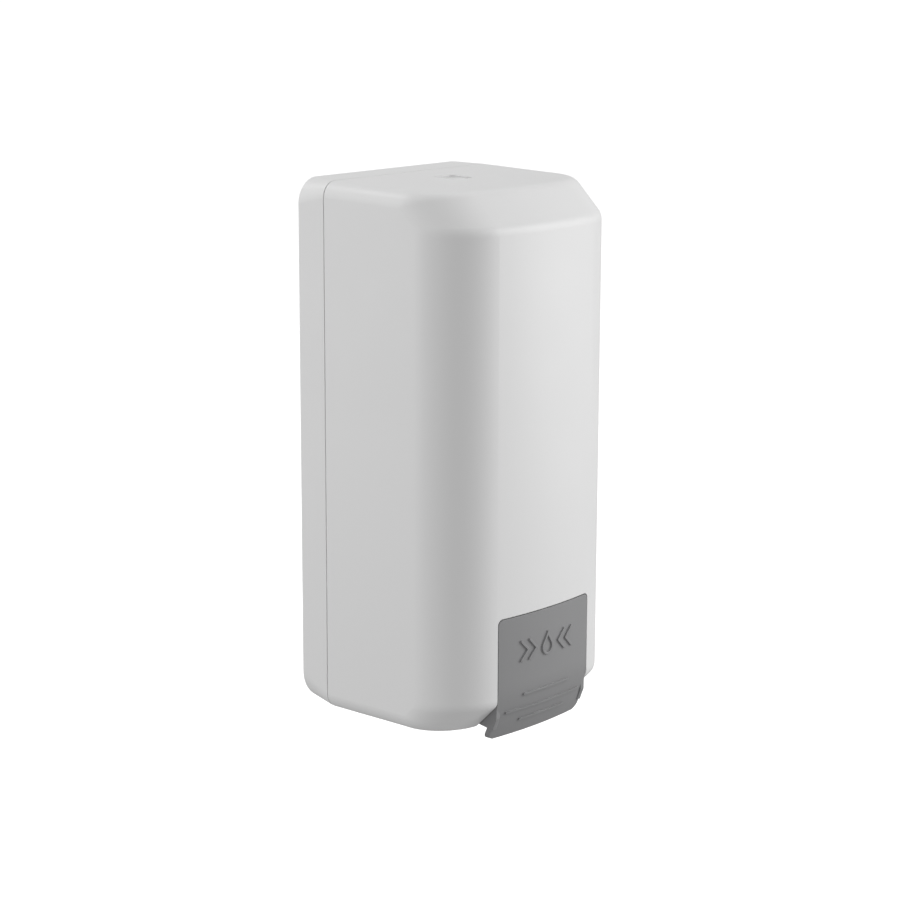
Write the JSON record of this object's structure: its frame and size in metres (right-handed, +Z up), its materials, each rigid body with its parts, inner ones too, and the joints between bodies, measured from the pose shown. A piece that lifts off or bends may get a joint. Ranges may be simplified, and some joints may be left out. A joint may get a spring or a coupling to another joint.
{
  "type": "soap dispenser",
  "caption": "Wall-mounted liquid soap dispenser with a hinged white cover, a grey push lever across its lower front, a lock on top, and a tank and piston pump inside.",
  "frame": {"origin": "centre of the four wall screw holes on the wall face, at half the housing's height", "axes": "+Z up, +Y into the wall, the front faces -Y"},
  "size_m": [0.126, 0.1108, 0.2746],
  "materials": {
    "white_shell": "satin white moulded plastic",
    "back_shell": "satin white moulded plastic",
    "lever_grey": "mid grey moulded plastic",
    "button_white": "gloss white moulded plastic",
    "inner_white": "natural white moulded plastic",
    "steel": "stainless steel",
    "screw_steel": "bright zinc-plated steel",
    "tank_milky": "milky polyethylene",
    "lid_grey": "grey moulded plastic",
    "rubber_black": "black rubber",
    "silicone": "translucent silicone rubber"
  },
  "bodies": {
    "housing": {"back_plate": "back_shell", "hinge_pins": "steel", "striker": "steel", "striker_screws": "screw_steel", "pump_bracket": "inner_white", "bracket_screws": "screw_steel", "reservoir_tank": "tank_milky", "lid_seal": "rubber_black", "neck_gasket": "rubber_black", "collar_nut": "inner_white", "pump_body": "inner_white", "inlet_ball": "steel", "ball_cage": "inner_white", "pump_cap": "lid_grey", "outlet_valve": "silicone", "nozzle": "inner_white"},
    "cover": {"front_cover": "white_shell", "lever_pin": "steel", "pin_clips": "steel", "lock_guide": "inner_white", "guide_screws": "screw_steel", "lock_spring": "steel"},
    "lever": {"push_lever": "lever_grey"},
    "lock": {"lock_button": "button_white", "latch_hook": "steel"},
    "lid": {"tank_lid": "lid_grey"},
    "plunger": {"piston": "lid_grey", "piston_seal": "rubber_black", "pump_spring": "steel"}
  },
  "joints": [
    {"name": "cover_hinge", "type": "hinge", "parent": "housing", "child": "cover", "pos_m": [0, -0.0172, -0.1329], "axis": [1, 0, 0], "range_deg": [0, 85]},
    {"name": "lever_push", "type": "hinge", "parent": "cover", "child": "lever", "pos_m": [0, -0.099, -0.083], "axis": [1, 0, 0], "range_deg": [0, 12], "stiffness_Nm_per_rad": 0.6, "springref_deg": -14.32},
    {"name": "lock_press", "type": "slide", "parent": "cover", "child": "lock", "axis": [0, 0, -1], "range_m": [0, 0.003], "stiffness_N_per_m": 400, "springref_m": -0.004, "deforming": ["lock_spring"]},
    {"name": "lid_lift", "type": "slide", "parent": "housing", "child": "lid", "axis": [0, 0, 1], "range_m": [0, 0.018]},
    {"name": "piston_stroke", "type": "slide", "parent": "housing", "child": "plunger", "axis": [0, 1, 0], "range_m": [0, 0.0063], "deforming": ["pump_spring"]}
  ],
  "couplings": [
    {"joint": "piston_stroke", "follows": "lever_push", "m_per_rad": 0.0297}
  ]
}
